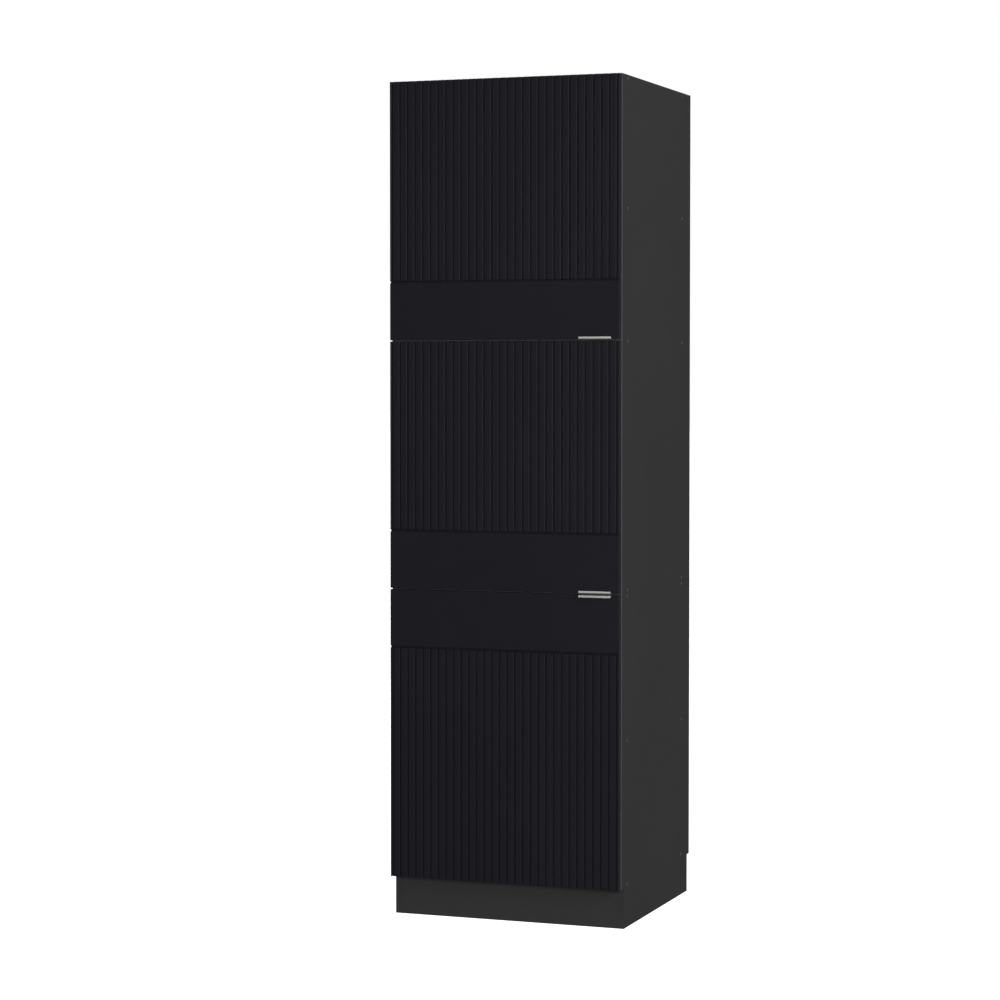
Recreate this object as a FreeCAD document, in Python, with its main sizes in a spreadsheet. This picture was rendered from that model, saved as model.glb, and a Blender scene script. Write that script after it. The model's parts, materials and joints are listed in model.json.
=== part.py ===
import FreeCAD, Part
import os
import Sketcher
from FreeCAD import Rotation, Vector

# Tall free-standing pantry cabinet: two stacked board carcasses behind three fluted doors, all hung
# on the left with concealed cup hinges.
# Frame: millimetres, +X to the right seen from the front, +Y towards the wall, +Z up.
# Origin: on the floor, at the middle of the cabinet's box in X and Y (handles included).

DIMENSIONS = {
    # carcass
    "cabinet_width": (600, "outer width over the side panels"),
    "cabinet_height": (2074, "floor to the top of the upper module"),
    "carcass_depth": (576, "front edge to rear edge of the side panels"),
    "board": (16, "thickness of every carcass board"),
    "lower_height": (818, "height of the lower module, feet included"),
    "toe_height": (98, "underside of the bottom panel above the floor"),
    "toe_depth": (19.5, "set-back of the plinth behind the carcass front"),
    "skirting_depth": (18, "notch over the room's skirting board, and room behind the back"),
    "skirting_height": (96, "height of that notch"),
    "back_board": (3, "thickness of the back panels"),
    "back_groove": (8, "depth of the groove that holds a back panel"),
    "lower_shelf_level": (458, "middle height of the lower fixed shelf"),
    "middle_shelf_level": (1431, "middle height of the shelf behind the upper door gap"),
    "top_shelf_level": (1752, "middle height of the fixed shelf in the top compartment"),
    "loose_shelf_level": (1128, "middle height of the adjustable shelf"),
    "loose_shelf_setback": (10, "adjustable shelf behind the carcass front"),
    "loose_shelf_play": (1, "room at each end of the adjustable shelf"),
    # doors
    "door_board": (16, "thickness of a door"),
    "door_standoff": (2, "room between a door and the carcass front"),
    "door_reveal": (1.5, "carcass left uncovered at a door's edges, half of a door gap"),
    "door_foot": (0.5, "bottom edge of the bottom door above the plinth's top"),
    "upper_split": (1433, "height of the gap between the top and middle doors"),
    "groove_width": (6, "width of each cut line"),
    "groove_depth": (5, "depth of each cut line"),
    "groove_margin": (3.25, "door edge to the first upright cut line"),
    "groove_count": (30, "upright cut lines on a door"),
    "band_height": (143, "handle edge of a door to the level cut line"),
    # edge pulls
    "pull_length": (82, "length of an edge pull"),
    "pull_end_gap": (18.5, "free edge of the door to the pull"),
    "pull_sheet": (1.5, "wall of an edge pull"),
    "pull_inset": (0.65, "pull behind the door's edge"),
    "pull_lip": (6.45, "height of the front lip"),
    "pull_reach": (10, "front lip in front of the door's face"),
    "pull_flange": (26, "height of the flange on the door's back"),
    "pull_screw_level": (20.5, "door's edge to the pull's screws"),
    "pull_screw_spacing": (60, "between the pull's two screws"),
    # fasteners
    "joint_front_row": (45, "front row of panel joints behind the carcass front"),
    "joint_rear_row": (73, "rear row of panel joints before the carcass rear"),
    "joint_head_radius": (4, "head of a panel joint screw"),
    "joint_head_height": (4, "height of that head"),
    "joint_shank_radius": (2.6, "shank of a panel joint screw"),
    "joint_shank_length": (45.5, "length of that shank"),
    "joint_head_sunk": (0.3, "those heads under the side panels' outer faces"),
    "joint_bore": (35, "depth of the bores for those screws in a level board's end"),
    "end_room": (0.5, "room past a screw head, a dowel's end or a back panel's edge"),
    "dowel_radius": (4, "beech dowel"),
    "dowel_length": (30, "length of a dowel"),
    "dowel_in_side": (10, "depth of a dowel in the upright board"),
    "small_shank_radius": (1.5, "chipboard screw for thin parts"),
    "small_shank_length": (9, "its length under the head"),
    "small_head_radius": (3, "its pan head"),
    "small_head_height": (1.5, "height of that head"),
    "slack": (0.05, "hole radius over screw or dowel radius"),
    "back_screw_reach": (230, "outer back screws and module bolts from the middle"),
    "connector_front": (90, "front module bolts behind the carcass front"),
    "connector_rear": (60, "rear module bolts before the rear row of panel joints"),
    "connector_radius": (4, "barrel of a sleeve nut"),
    "connector_bolt_radius": (3, "bolt in a sleeve nut"),
    "connector_head_radius": (7, "flat head of a sleeve nut or its bolt"),
    "connector_head_height": (2, "height of that head"),
    "shelf_pin_radius": (2.5, "shank and peg of a shelf pin"),
    "shelf_pin_length": (18, "shank and peg together"),
    "shelf_pin_in_side": (10, "shank in the side panel"),
    "shelf_pin_collar": (4, "radius of the collar"),
    "shelf_pin_collar_height": (1, "height of the collar"),
    "shelf_pin_pitch": (32, "between the pin holes of a row"),
    "bracket_reach": (200, "wall brackets from the middle"),
    "bracket_hole_drop": (38, "wall screw hole below the cabinet's top"),
    "bracket_leg": (40, "each leg of a wall bracket"),
    "bracket_half": (20, "half the width of a wall bracket"),
    "bracket_sheet": (2, "sheet of a wall bracket"),
    "bracket_hole_radius": (3.25, "wall screw hole"),
    "bracket_screw_setback": (20, "bracket's small screws before the back panel"),
    "bracket_screw_step": (10, "those screws from the bracket's middle"),
    "bumper_radius": (4, "door bumper"),
    "bumper_height": (1.6, "its height"),
    "bumper_end": (40, "bumper from the door's end"),
    # hinges
    "axis_in_door": (5, "door's turning axis in from its left edge and from its face"),
    "hinge_end": (100, "hinge's middle from the door's end"),
    "cup_radius": (17.5, "cup bore"),
    "cup_rim": (4, "door's edge to the cup bore"),
    "cup_depth": (9, "shallow cup for a thin door"),
    "cup_wall": (0.8, "pressed steel of the cup"),
    "cup_flange": (1.2, "thickness of the cup's flange"),
    "cup_screw_spacing": (45, "between the flange's screws"),
    "cup_screw_offset": (9.5, "those screws inwards of the cup's middle"),
    "plate_row": (37, "mounting plate's screw row behind the carcass front"),
    "plate_screw_spacing": (32, "between the plate's screws"),
    "plate_screw_radius": (2.5, "shank of the plate's screws"),
    "plate_screw_length": (14, "length of that shank"),
    "plate_screw_bore": (12, "depth of its bore in the side panel"),
    "plate_screw_head_radius": (4, "head of the plate's screws"),
    "plate_screw_head_height": (2, "height of that head"),
    "plate_sheet": (2.5, "wings of the mounting plate"),
    "plate_rib": (3.5, "rib of the mounting plate under the arm"),
    "link_length": (23.9, "pin to tip of the hinge link"),
    "link_sheet": (1.6, "thickness of the link"),
    "link_height": (10, "height of the link"),
    "link_rest_angle": (175.7, "link's direction with the door shut, from +X"),
    "arm_height": (12.8, "height of the hinge arm"),
    "arm_wall": (1.2, "wall of the hinge arm"),
    "pin_radius": (1, "hinge pin"),
    "nose_radius": (1.8, "rounded nose of the arm about the pin"),
}


class Size:
    """A length with the sheet expression that drives it."""

    def __init__(self, value, text):
        self.value = float(value)
        self.text = text

    def __add__(self, other):
        other = size(other)
        return Size(self.value + other.value, f"({self.text} + {other.text})")

    def __sub__(self, other):
        other = size(other)
        return Size(self.value - other.value, f"({self.text} - {other.text})")

    def __mul__(self, factor):
        factor = size(factor)
        return Size(self.value * factor.value, f"({self.text} * {factor.text})")

    def __truediv__(self, divisor):
        divisor = size(divisor)
        return Size(self.value / divisor.value, f"({self.text} / {divisor.text})")

    def __neg__(self):
        return self * -1


def size(number):
    return number if isinstance(number, Size) else Size(number, f"({number})")


document = FreeCAD.newDocument("pantry_cabinet")
sheet = document.addObject("Spreadsheet::Sheet", "Dims")
for row, (alias, (number, meaning)) in enumerate(DIMENSIONS.items(), start=1):
    sheet.set(f"A{row}", meaning)
    sheet.set(f"B{row}", str(number))
    sheet.setAlias(f"B{row}", alias)
document.recompute()


def dim(alias):
    return Size(DIMENSIONS[alias][0], f"Dims.{alias}")


ZERO = Size(0, "0")


# ---------------------------------------------------------------- helpers: binding and placing

parts = []


def keep(piece, label):
    """Marks a finished sub-part: its Label names its file."""
    piece.Label = label
    parts.append(piece)
    return piece


def bind(piece, path, length):
    piece.setExpression(path, length.text)


def place(piece, x=ZERO, y=ZERO, z=ZERO, rotation=None):
    if rotation is not None:
        piece.Placement = FreeCAD.Placement(Vector(x.value, y.value, z.value), rotation)
    for axis, length in (("x", x), ("y", y), ("z", z)):
        bind(piece, f".Placement.Base.{axis}", length)
    return piece


def pointing(x, y, z):
    """The turn that carries local +Z to the given direction."""
    return Rotation(Vector(0, 0, 1), Vector(x, y, z))


# ---------------------------------------------------------------- helpers: bodies and sketches

ALONG = {"XY_Plane": 1, "XZ_Plane": -1, "YZ_Plane": 1}


def new_body(name):
    return document.addObject("PartDesign::Body", name)


def sketch_at(body, plane, level):
    """A sketch parallel to an origin plane, at the given coordinate along that plane's axis."""
    sketch = body.newObject("Sketcher::SketchObject", "Outline")
    support = [p for p in body.Origin.OriginFeatures if p.Role == plane][0]
    sketch.AttachmentSupport = (support, [""])
    sketch.MapMode = "FlatFace"
    bind(sketch, ".AttachmentOffset.Base.z", level * ALONG[plane])
    return sketch


def tie(sketch, geometry, end, point):
    """Ties one point of the sketch to the sheet by its two coordinates."""
    for kind, length in zip(("DistanceX", "DistanceY"), point):
        index = sketch.addConstraint(Sketcher.Constraint(kind, -1, 1, geometry, end, length.value))
        bind(sketch, f"Constraints[{index}]", length)


def draw_outline(sketch, points):
    first = sketch.GeometryCount
    count = len(points)
    corners = [Vector(u.value, v.value, 0) for u, v in points]
    for k in range(count):
        sketch.addGeometry(Part.LineSegment(corners[k], corners[(k + 1) % count]), False)
    for k in range(count):
        following = first + (k + 1) % count
        sketch.addConstraint(Sketcher.Constraint("Coincident", first + k, 2, following, 1))
        tie(sketch, first + k, 1, points[k])


def draw_rectangle(sketch, low, high):
    draw_outline(sketch, [low, (high[0], low[1]), high, (low[0], high[1])])


def draw_circles(sketch, centres, radius):
    for u, v in centres:
        circle = Part.Circle(Vector(u.value, v.value, 0), Vector(0, 0, 1), radius.value)
        index = sketch.addGeometry(circle, False)
        tie(sketch, index, 3, (u, v))
        limit = sketch.addConstraint(Sketcher.Constraint("Radius", index, radius.value))
        bind(sketch, f"Constraints[{limit}]", radius)


def pad(body, sketch, length, forward=True):
    """Grows the sketch along its plane's axis, or against it."""
    feature = body.newObject("PartDesign::Pad", "Pad")
    feature.Profile = sketch
    bind(feature, "Length", length)
    feature.Reversed = not forward
    return feature


def pocket(body, sketch, depth, reverse=False):
    """Cuts against the sketch's normal, or along it when reversed; no depth cuts right through."""
    feature = body.newObject("PartDesign::Pocket", "Pocket")
    feature.Profile = sketch
    feature.Reversed = reverse
    if depth is None:
        feature.Type = "ThroughAll"
        feature.Midplane = True
    else:
        bind(feature, "Length", depth)
    return feature


def drill(body, plane, level, centres, radius, depth, reverse=False):
    sketch = sketch_at(body, plane, level)
    draw_circles(sketch, centres, radius)
    return pocket(body, sketch, depth, reverse)


# ---------------------------------------------------------------- helpers: primitives and groups


def make_box(low, high):
    box = document.addObject("Part::Box", "Box")
    for prop, a, b in zip(("Length", "Width", "Height"), low, high):
        bind(box, prop, b - a)
    return place(box, *low)


def make_cylinder(radius, height, z=ZERO, x=ZERO, y=ZERO):
    cylinder = document.addObject("Part::Cylinder", "Cylinder")
    bind(cylinder, "Radius", radius)
    bind(cylinder, "Height", height)
    return place(cylinder, x, y, z)


def fuse(*pieces):
    union = document.addObject("Part::MultiFuse", "Fuse")
    union.Shapes = list(pieces)
    return union


def cut(base, *tools):
    difference = document.addObject("Part::Cut", "Cut")
    difference.Base = base
    difference.Tool = tools[0] if len(tools) == 1 else fuse(*tools)
    return difference


def make_group(label, *sets):
    """One node of identical pieces: links to a master, from sets of (master, places, rotation).

    The master stands on the origin, because a link takes the place of its master's placement.
    """
    members = []
    for master, places, rotation in sets:
        for x, y, z in places:
            member = document.addObject("App::Link", "Copy")
            member.LinkedObject = master
            place(member, x, y, z, rotation)
            members.append(member)
    group = document.addObject("Part::Compound", "Group")
    group.Links = members
    return keep(group, label)


# ---------------------------------------------------------------- places worked out from the sheet

board = dim("board")
slack = dim("slack")
half_width = dim("cabinet_width") / 2
inner_x = half_width - board
overall_depth = dim("carcass_depth") + dim("door_standoff") + dim("door_board") + dim("pull_reach")
rear_y = overall_depth / 2
front_y = rear_y - dim("carcass_depth")
door_back_y = front_y - dim("door_standoff")
door_face_y = door_back_y - dim("door_board")
back_rear_y = rear_y - dim("skirting_depth")
back_front_y = back_rear_y - dim("back_board")
front_row_y = front_y + dim("joint_front_row")
rear_row_y = rear_y - dim("joint_rear_row")
dowel_y = (front_row_y + rear_row_y) / 2

half_board = board / 2
levels = {
    "lower_bottom_panel": dim("toe_height") + half_board,
    "lower_shelf": dim("lower_shelf_level"),
    "lower_top_panel": dim("lower_height") - half_board,
    "upper_bottom_panel": dim("lower_height") + half_board,
    "upper_middle_shelf": dim("middle_shelf_level"),
    "upper_top_shelf": dim("top_shelf_level"),
    "upper_top_panel": dim("cabinet_height") - half_board,
}
modules = {
    "lower": (ZERO, dim("lower_height"), [n for n in levels if n.startswith("lower")]),
    "upper": (dim("lower_height"), dim("cabinet_height"),
              [n for n in levels if n.startswith("upper")]),
}

reveal = dim("door_reveal")
doors = {
    # name: (bottom edge, top edge, edge that carries the pull)
    "bottom": (dim("toe_height") + dim("door_foot"), dim("lower_height") - reveal, "top"),
    "middle": (dim("lower_height") + reveal, dim("upper_split") - reveal, "bottom"),
    "top": (dim("upper_split") + reveal, dim("cabinet_height") - reveal, "bottom"),
}
door_half_width = half_width - reveal
hinge_levels = {
    name: (low + dim("hinge_end"), high - dim("hinge_end")) for name, (low, high, _) in doors.items()
}
plate_y = front_y + dim("plate_row")
plate_screw_half = dim("plate_screw_spacing") / 2
bracket_x = dim("bracket_reach")
bracket_hole_level = dim("cabinet_height") - dim("bracket_hole_drop")
back_screw_x = (-dim("back_screw_reach"), ZERO, dim("back_screw_reach"))
bracket_screws = [(x + dim("bracket_screw_step") * side, back_front_y - dim("bracket_screw_setback"))
                  for x in (-bracket_x, bracket_x) for side in (-1, 1)]
connector_x = (-dim("back_screw_reach"), dim("back_screw_reach"))
connector_y = (front_y + dim("connector_front"), rear_row_y - dim("connector_rear"))
pin_hole_rows = (plate_y, rear_row_y)
pin_hole_rows_each_way = 2
shelf_underside = dim("loose_shelf_level") - half_board
pin_collar = dim("shelf_pin_collar")
pin_level = shelf_underside - pin_collar


# ---------------------------------------------------------------- carcass boards


def make_side(module, hand):
    """An upright board. Lower ones stand on the floor, notched for toes and for the skirting."""
    foot, head, panels = modules[module]
    height = head - foot
    body = new_body(f"{module}_{hand}_side")
    left = hand == "left"
    inner, outer = (board, ZERO) if left else (ZERO, board)
    outline = sketch_at(body, "YZ_Plane", ZERO)
    if module == "lower":
        toe_y = front_y + dim("toe_depth")
        draw_outline(outline, [
            (toe_y, ZERO), (back_rear_y, ZERO), (back_rear_y, dim("skirting_height")),
            (rear_y, dim("skirting_height")), (rear_y, height), (front_y, height),
            (front_y, dim("toe_height")), (toe_y, dim("toe_height")),
        ])
        groove_foot = dim("toe_height")
    else:
        draw_rectangle(outline, (front_y, ZERO), (rear_y, height))
        groove_foot = ZERO
    pad(body, outline, board)

    groove = sketch_at(body, "YZ_Plane", inner)
    draw_rectangle(groove, (back_front_y - slack, groove_foot), (back_rear_y + slack, height))
    pocket(body, groove, dim("back_groove"), reverse=not left)

    joints = [(y, levels[n] - foot) for n in panels for y in (front_row_y, rear_row_y)]
    drill(body, "YZ_Plane", inner, joints, dim("joint_shank_radius") + slack, None)
    head_depth = dim("joint_head_height") + dim("end_room")
    head_radius = dim("joint_head_radius") + slack
    drill(body, "YZ_Plane", outer, joints, head_radius, head_depth, reverse=left)

    dowels = [(dowel_y, levels[n] - foot) for n in panels]
    if module == "lower":
        dowels.append((front_y + dim("toe_depth") + half_board, dim("toe_height") / 2))
    dowel_depth = dim("dowel_in_side") + dim("end_room")
    drill(body, "YZ_Plane", inner, dowels, dim("dowel_radius") + slack, dowel_depth, reverse=not left)

    if left:
        hung = [name for name in doors if (name == "bottom") == (module == "lower")]
        screws = [
            (plate_y, level + step - foot)
            for name in hung
            for level in hinge_levels[name]
            for step in (-plate_screw_half, plate_screw_half)
        ]
        drill(body, "YZ_Plane", inner, screws, dim("plate_screw_radius") + slack, dim("plate_screw_bore"))
    if module == "upper":
        steps = range(-pin_hole_rows_each_way, pin_hole_rows_each_way + 1)
        holes = [(y, pin_level - foot + dim("shelf_pin_pitch") * k) for y in pin_hole_rows for k in steps]
        drill(body, "YZ_Plane", inner, holes, dim("shelf_pin_radius") + slack,
              dim("shelf_pin_in_side") + dim("end_room"), reverse=not left)

    place(body, x=-half_width if left else inner_x, z=foot)
    return keep(body, f"{module}_{hand}_side")


def make_panel(name):
    """A level board between the sides, bored in both ends and in its rear edge."""
    body = new_body(name)
    outline = sketch_at(body, "XY_Plane", ZERO)
    draw_rectangle(outline, (-inner_x, front_y), (inner_x, back_front_y))
    pad(body, outline, board)
    ends = ((inner_x, False), (-inner_x, True))
    joints = [(front_row_y, half_board), (rear_row_y, half_board)]
    for x, reverse in ends:
        drill(body, "YZ_Plane", x, joints, dim("joint_shank_radius") + slack, dim("joint_bore"), reverse)
        dowel_depth = dim("dowel_length") - dim("dowel_in_side") + dim("end_room")
        drill(body, "YZ_Plane", x, [(dowel_y, half_board)], dim("dowel_radius") + slack,
              dowel_depth, reverse)
    rear = [(x, half_board) for x in back_screw_x]
    drill(body, "XZ_Plane", back_front_y, rear, dim("small_shank_radius") + slack,
          dim("small_shank_length"), True)
    if name in ("lower_top_panel", "upper_bottom_panel"):
        holes = [(x, y) for x in connector_x for y in connector_y]
        drill(body, "XY_Plane", board, holes, dim("connector_radius") + slack, None)
    if name == "upper_top_panel":
        drill(body, "XY_Plane", ZERO, bracket_screws, dim("small_shank_radius") + slack,
              dim("small_shank_length") + 1, True)
    place(body, z=levels[name] - half_board)
    return keep(body, name)


def make_back(module):
    """A thin board in the side panels' grooves, drilled for its screws."""
    foot, head, panels = modules[module]
    low = dim("toe_height") if module == "lower" else foot
    body = new_body(f"{module}_back_panel")
    reach = inner_x + dim("back_groove") - dim("end_room")
    outline = sketch_at(body, "XZ_Plane", ZERO)
    draw_rectangle(outline, (-reach, ZERO), (reach, head - low))
    pad(body, outline, dim("back_board"), forward=False)
    holes = [(x, levels[n] - low) for n in panels for x in back_screw_x]
    drill(body, "XZ_Plane", ZERO, holes, dim("small_shank_radius") + slack, None)
    if module == "upper":
        wall = [(x, bracket_hole_level - low) for x in (-bracket_x, bracket_x)]
        drill(body, "XZ_Plane", ZERO, wall, dim("bracket_hole_radius"), None)
    place(body, y=back_front_y, z=low)
    return keep(body, f"{module}_back_panel")


def make_plinth():
    """The toe board between the lower sides, under the bottom panel."""
    body = new_body("plinth_board")
    outline = sketch_at(body, "XZ_Plane", ZERO)
    draw_rectangle(outline, (-inner_x, ZERO), (inner_x, dim("toe_height")))
    pad(body, outline, board, forward=False)
    centre = [(half_board, dim("toe_height") / 2)]
    depth = dim("dowel_length") - dim("dowel_in_side") + dim("end_room")
    for x, reverse in ((inner_x, False), (-inner_x, True)):
        drill(body, "YZ_Plane", x, centre, dim("dowel_radius") + slack, depth, reverse)
    place(body, y=front_y + dim("toe_depth"))
    return keep(body, "plinth_board")


def make_loose_shelf():
    body = new_body("adjustable_shelf")
    outline = sketch_at(body, "XY_Plane", ZERO)
    reach = inner_x - dim("loose_shelf_play")
    shelf_front = front_y + dim("loose_shelf_setback")
    draw_rectangle(outline, (-reach, shelf_front), (reach, back_front_y - 2))
    pad(body, outline, board)
    place(body, z=shelf_underside)
    return keep(body, "adjustable_shelf")


for module_name in modules:
    for side_hand in ("left", "right"):
        make_side(module_name, side_hand)
    make_back(module_name)
for panel_name in levels:
    make_panel(panel_name)
make_plinth()
make_loose_shelf()


# ---------------------------------------------------------------- doors


def make_door(name):
    """A board whose face is cut with upright lines above or below one level line."""
    low, high, pull_edge = doors[name]
    height = high - low
    thickness = dim("door_board")
    from_bottom = pull_edge == "bottom"
    body = new_body(f"{name}_door_panel")
    outline = sketch_at(body, "XZ_Plane", ZERO)
    draw_rectangle(outline, (-door_half_width, ZERO), (door_half_width, height))
    pad(body, outline, thickness)

    line = dim("band_height") if from_bottom else height - dim("band_height")
    half_groove = dim("groove_width") / 2
    level = sketch_at(body, "XZ_Plane", -thickness)
    draw_rectangle(level, (-door_half_width - 1, line - half_groove),
                   (door_half_width + 1, line + half_groove))
    pocket(body, level, dim("groove_depth"))

    first = -door_half_width + dim("groove_margin")
    reach = (line, height + 1) if from_bottom else (ZERO - 1, line)
    upright = sketch_at(body, "XZ_Plane", -thickness)
    draw_rectangle(upright, (first, reach[0]), (first + dim("groove_width"), reach[1]))
    groove = pocket(body, upright, dim("groove_depth"))
    flutes = body.newObject("PartDesign::LinearPattern", "Flutes")
    flutes.Originals = [groove]
    flutes.Direction = (upright, ["H_Axis"])
    span = (door_half_width - dim("groove_margin")) * 2 - dim("groove_width")
    bind(flutes, "Length", span)
    bind(flutes, "Occurrences", dim("groove_count"))
    body.Tip = flutes

    cup_x = -door_half_width + dim("cup_rim") + dim("cup_radius")
    cups = [(cup_x, level_z - low) for level_z in hinge_levels[name]]
    drill(body, "XZ_Plane", ZERO, cups, dim("cup_radius") + slack, dim("cup_depth") + slack, True)
    half_spacing = dim("cup_screw_spacing") / 2
    cup_screws = [(cup_x + dim("cup_screw_offset"), z + step)
                  for _, z in cups for step in (-half_spacing, half_spacing)]
    pull_screws = [(x, pull_screw_z(name) - low) for x in pull_screw_x]
    drill(body, "XZ_Plane", ZERO, cup_screws + pull_screws, dim("small_shank_radius") + slack,
          dim("small_shank_length") + slack, True)

    seat = dim("pull_inset") + dim("pull_sheet") + slack
    rebate = (ZERO - 1, seat) if from_bottom else (height - seat, height + 1)
    notch = sketch_at(body, "XZ_Plane", ZERO)
    draw_rectangle(notch, (pull_left - 0.2, rebate[0]), (pull_right + 0.2, rebate[1]))
    pocket(body, notch, None)
    place(body, y=door_back_y, z=low)
    return keep(body, f"{name}_door_panel")


pull_right = door_half_width - dim("pull_end_gap")
pull_left = pull_right - dim("pull_length")
pull_middle = (pull_left + pull_right) / 2
pull_screw_x = (pull_middle - dim("pull_screw_spacing") / 2,
                pull_middle + dim("pull_screw_spacing") / 2)


def pull_edge_z(name):
    """Height of the door edge that carries the pull, and the way into the door from it."""
    low, high, edge = doors[name]
    return (low, 1) if edge == "bottom" else (high, -1)


def pull_screw_z(name):
    edge, way = pull_edge_z(name)
    return edge + dim("pull_screw_level") * way


def make_pull(name):
    """A bent strip round the door's edge: flange behind, web under, lip in front."""
    edge, way = pull_edge_z(name)
    wall = dim("pull_sheet")
    near = dim("pull_inset")
    lip_y = -dim("door_board") - dim("pull_reach")
    profile = [
        (wall, near), (wall, near + dim("pull_flange")), (ZERO, near + dim("pull_flange")),
        (ZERO, near + wall), (lip_y + wall, near + wall), (lip_y + wall, near + dim("pull_lip")),
        (lip_y, near + dim("pull_lip")), (lip_y, near),
    ]
    body = new_body(f"{name}_handle")
    outline = sketch_at(body, "YZ_Plane", ZERO)
    draw_outline(outline, [(u, v * way) for u, v in profile])
    pad(body, outline, dim("pull_length"))
    holes = [(x - pull_left, dim("pull_screw_level") * way) for x in pull_screw_x]
    drill(body, "XZ_Plane", wall + 1, holes, dim("small_shank_radius") + slack, wall + 1.5, True)
    place(body, x=pull_left, y=door_back_y, z=edge)
    return keep(body, f"{name}_handle")


for door_name in doors:
    make_door(door_name)
    make_pull(door_name)


# ---------------------------------------------------------------- fasteners


def make_screw(head_radius, head_height, shank_radius, shank_length):
    """A headed screw on local Z: shank above the origin, head below it, socket in the head."""
    shank = make_cylinder(shank_radius, shank_length)
    head = make_cylinder(head_radius, head_height, z=-head_height)
    socket = document.addObject("Part::Prism", "Socket")
    socket.Polygon = 6
    bind(socket, "Circumradius", head_radius * 0.55)
    bind(socket, "Height", head_height * 0.6)
    place(socket, z=-head_height)
    return cut(fuse(shank, head), socket)


joint_screw = make_screw(dim("joint_head_radius"), dim("joint_head_height"),
                         dim("joint_shank_radius"), dim("joint_shank_length"))
small_screw = make_screw(dim("small_head_radius"), dim("small_head_height"),
                         dim("small_shank_radius"), dim("small_shank_length"))
plate_screw = make_screw(dim("plate_screw_head_radius"), dim("plate_screw_head_height"),
                         dim("plate_screw_radius"), dim("plate_screw_length"))
dowel = make_cylinder(dim("dowel_radius"), dim("dowel_length"))

TO_RIGHT, TO_LEFT = pointing(1, 0, 0), pointing(-1, 0, 0)
TO_FRONT, TO_REAR = pointing(0, -1, 0), pointing(0, 1, 0)
UP, DOWN = pointing(0, 0, 1), Rotation(Vector(1, 0, 0), 180)

# the heads end a little under the side panels' outer faces
screw_seat = half_width - dim("joint_head_height") - dim("joint_head_sunk")
for module_name, (_, _, panel_names) in modules.items():
    spots = [(y, levels[n]) for n in panel_names for y in (front_row_y, rear_row_y)]
    make_group(
        f"{module_name}_joint_screws",
        (joint_screw, [(-screw_seat, y, z) for y, z in spots], TO_RIGHT),
        (joint_screw, [(screw_seat, y, z) for y, z in spots], TO_LEFT),
    )

dowel_spots = [(dowel_y, level) for level in levels.values()]
dowel_spots.append((front_y + dim("toe_depth") + half_board, dim("toe_height") / 2))
dowel_start = inner_x + dim("dowel_in_side")
make_group(
    "panel_dowels",
    (dowel, [(-dowel_start, y, z) for y, z in dowel_spots], TO_RIGHT),
    (dowel, [(dowel_start, y, z) for y, z in dowel_spots], TO_LEFT),
)

back_spots = [(x, back_rear_y, level) for level in levels.values() for x in back_screw_x]
make_group("back_panel_screws", (small_screw, back_spots, TO_FRONT))

# the two modules are pulled together by sleeve nuts from below and bolts from above
connector_spots = [(x, y) for x in connector_x for y in connector_y]
split_z = dim("lower_height")
sleeve_length = board * 2 - 4
bolt_radius = dim("connector_bolt_radius")
flat_radius = dim("connector_head_radius")
flat_height = dim("connector_head_height")
bolt = make_screw(flat_radius, flat_height, bolt_radius, board * 2 - 8)
sleeve_head = make_cylinder(flat_radius, flat_height, z=-flat_height)
sleeve_bore = make_cylinder(bolt_radius + slack, sleeve_length + 4, z=-flat_height - 1)
sleeve = cut(fuse(make_cylinder(dim("connector_radius"), sleeve_length), sleeve_head), sleeve_bore)
make_group("module_sleeve_nuts", (sleeve, [(x, y, split_z - board) for x, y in connector_spots], UP))
make_group("module_bolts", (bolt, [(x, y, split_z + board) for x, y in connector_spots], DOWN))

# each pin has a shank in the side panel, a collar on its face and a peg under the shelf
pin = fuse(make_cylinder(dim("shelf_pin_radius"), dim("shelf_pin_length")),
           make_cylinder(pin_collar, dim("shelf_pin_collar_height"), z=dim("shelf_pin_in_side")))
pin_start = inner_x + dim("shelf_pin_in_side")
pin_spots = [(y, pin_level) for y in pin_hole_rows]
make_group(
    "shelf_pins",
    (pin, [(-pin_start, y, z) for y, z in pin_spots], TO_RIGHT),
    (pin, [(pin_start, y, z) for y, z in pin_spots], TO_LEFT),
)


# ---------------------------------------------------------------- wall brackets

bracket_leg = dim("bracket_leg")
bracket_half = dim("bracket_half")
bracket_sheet = dim("bracket_sheet")
wall_hole_drop = dim("bracket_hole_drop") - board
level_leg = make_box((-bracket_half, -bracket_leg, -bracket_sheet), (bracket_half, ZERO, ZERO))
upright_leg = make_box((-bracket_half, -bracket_sheet, -bracket_leg), (bracket_half, ZERO, ZERO))
wall_hole = make_cylinder(dim("bracket_hole_radius"), size(6))
place(wall_hole, ZERO, size(1), -wall_hole_drop, TO_FRONT)
screw_holes = [
    make_cylinder(dim("small_shank_radius") + slack, size(6), size(-4),
                  dim("bracket_screw_step") * side, -dim("bracket_screw_setback"))
    for side in (-1, 1)
]
bracket = cut(fuse(level_leg, upright_leg), wall_hole, *screw_holes)
top_underside = dim("cabinet_height") - board
bracket_spots = [(x, back_front_y, top_underside) for x in (-bracket_x, bracket_x)]
bracket_screw_spots = [(x, y, top_underside - bracket_sheet) for x, y in bracket_screws]
make_group("wall_brackets", (bracket, bracket_spots, UP))
make_group("wall_bracket_screws", (small_screw, bracket_screw_spots, UP))


# ---------------------------------------------------------------- hinge pieces, about one hinge's middle

cup_x = -door_half_width + dim("cup_rim") + dim("cup_radius")
pin_x = cup_x + dim("cup_radius") - 5.1
pin_y = door_back_y - 5.9


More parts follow.
